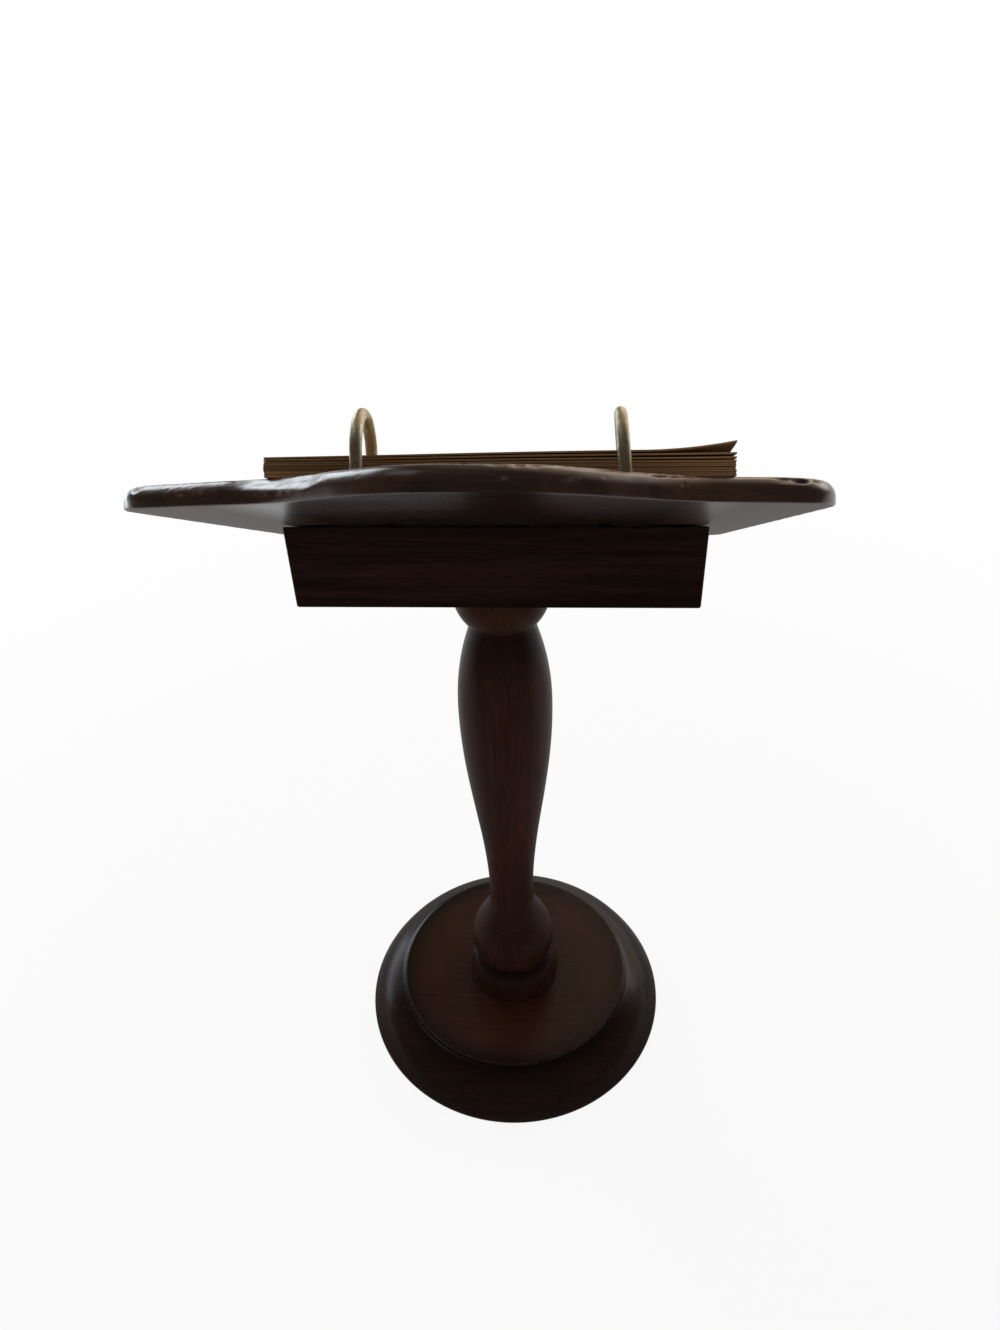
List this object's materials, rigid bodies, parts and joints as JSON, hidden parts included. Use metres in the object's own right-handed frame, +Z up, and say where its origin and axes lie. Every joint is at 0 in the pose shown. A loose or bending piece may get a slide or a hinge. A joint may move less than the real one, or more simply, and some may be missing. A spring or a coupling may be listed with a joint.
{
  "type": "cookbook stand",
  "caption": "Pedestal recipe stand in dark wood: turned base and post, wedge block and sloping crested board with wire arches that hold punched cards.",
  "frame": {"origin": "middle of the base's flat underside, on the post's axis", "axes": "+Z up the post, -Y towards the reader, +X to the reader's right"},
  "size_m": [0.2199, 0.2563, 0.45],
  "materials": {
    "base_wood": "dark red-brown stain under gloss lacquer",
    "post_wood": "dark brown stain under gloss lacquer",
    "block_wood": "very dark stain under satin lacquer",
    "board_wood": "dark brown stain under gloss lacquer, worn edges",
    "dowel_wood": "bare hardwood",
    "screw_steel": "plain steel",
    "aged_brass": "aged brass wire",
    "aged_card": "browned card"
  },
  "bodies": {
    "stand": {"base_disc": "base_wood", "base_dowel": "dowel_wood", "post": "post_wood", "top_dowel": "dowel_wood", "wedge_block": "block_wood", "reading_board": "board_wood", "left_board_screw": "screw_steel", "right_board_screw": "screw_steel"},
    "left_arch": {"left_arch": "aged_brass"},
    "right_arch": {"right_arch": "aged_brass"},
    "rear_cards": {"fourth_card": "aged_card", "fifth_card": "aged_card", "sixth_card": "aged_card", "seventh_card": "aged_card", "eighth_card": "aged_card", "ninth_card": "aged_card", "tenth_card": "aged_card"},
    "third_card": {"third_card": "aged_card"},
    "second_card": {"second_card": "aged_card"},
    "front_card": {"front_card": "aged_card"}
  },
  "joints": [
    {"name": "left_arch_pull", "type": "slide", "parent": "stand", "child": "left_arch", "axis": [0.087, -0.5391, 0.8377], "range_m": [0, 0.02]},
    {"name": "right_arch_pull", "type": "slide", "parent": "stand", "child": "right_arch", "axis": [0, -0.5373, 0.8434], "range_m": [0, 0.02]},
    {"name": "rear_cards_turn", "type": "hinge", "parent": "stand", "child": "rear_cards", "pos_m": [0, 0.12499, 0.43457], "axis": [-1, 0, 0], "range_deg": [0, 164]},
    {"name": "third_card_turn", "type": "hinge", "parent": "stand", "child": "third_card", "pos_m": [0, 0.12499, 0.43457], "axis": [-1, 0, 0], "range_deg": [0, 168.1]},
    {"name": "second_card_turn", "type": "hinge", "parent": "stand", "child": "second_card", "pos_m": [0, 0.12499, 0.43457], "axis": [-1, 0, 0], "range_deg": [0, 172.2]},
    {"name": "front_card_turn", "type": "hinge", "parent": "stand", "child": "front_card", "pos_m": [0, 0.12499, 0.43457], "axis": [-1, 0, 0], "range_deg": [0, 176.3]}
  ],
  "couplings": [
    {"joint": "third_card_turn", "follows": "rear_cards_turn", "ratio": 1.025},
    {"joint": "second_card_turn", "follows": "rear_cards_turn", "ratio": 1.05},
    {"joint": "front_card_turn", "follows": "rear_cards_turn", "ratio": 1.075}
  ]
}
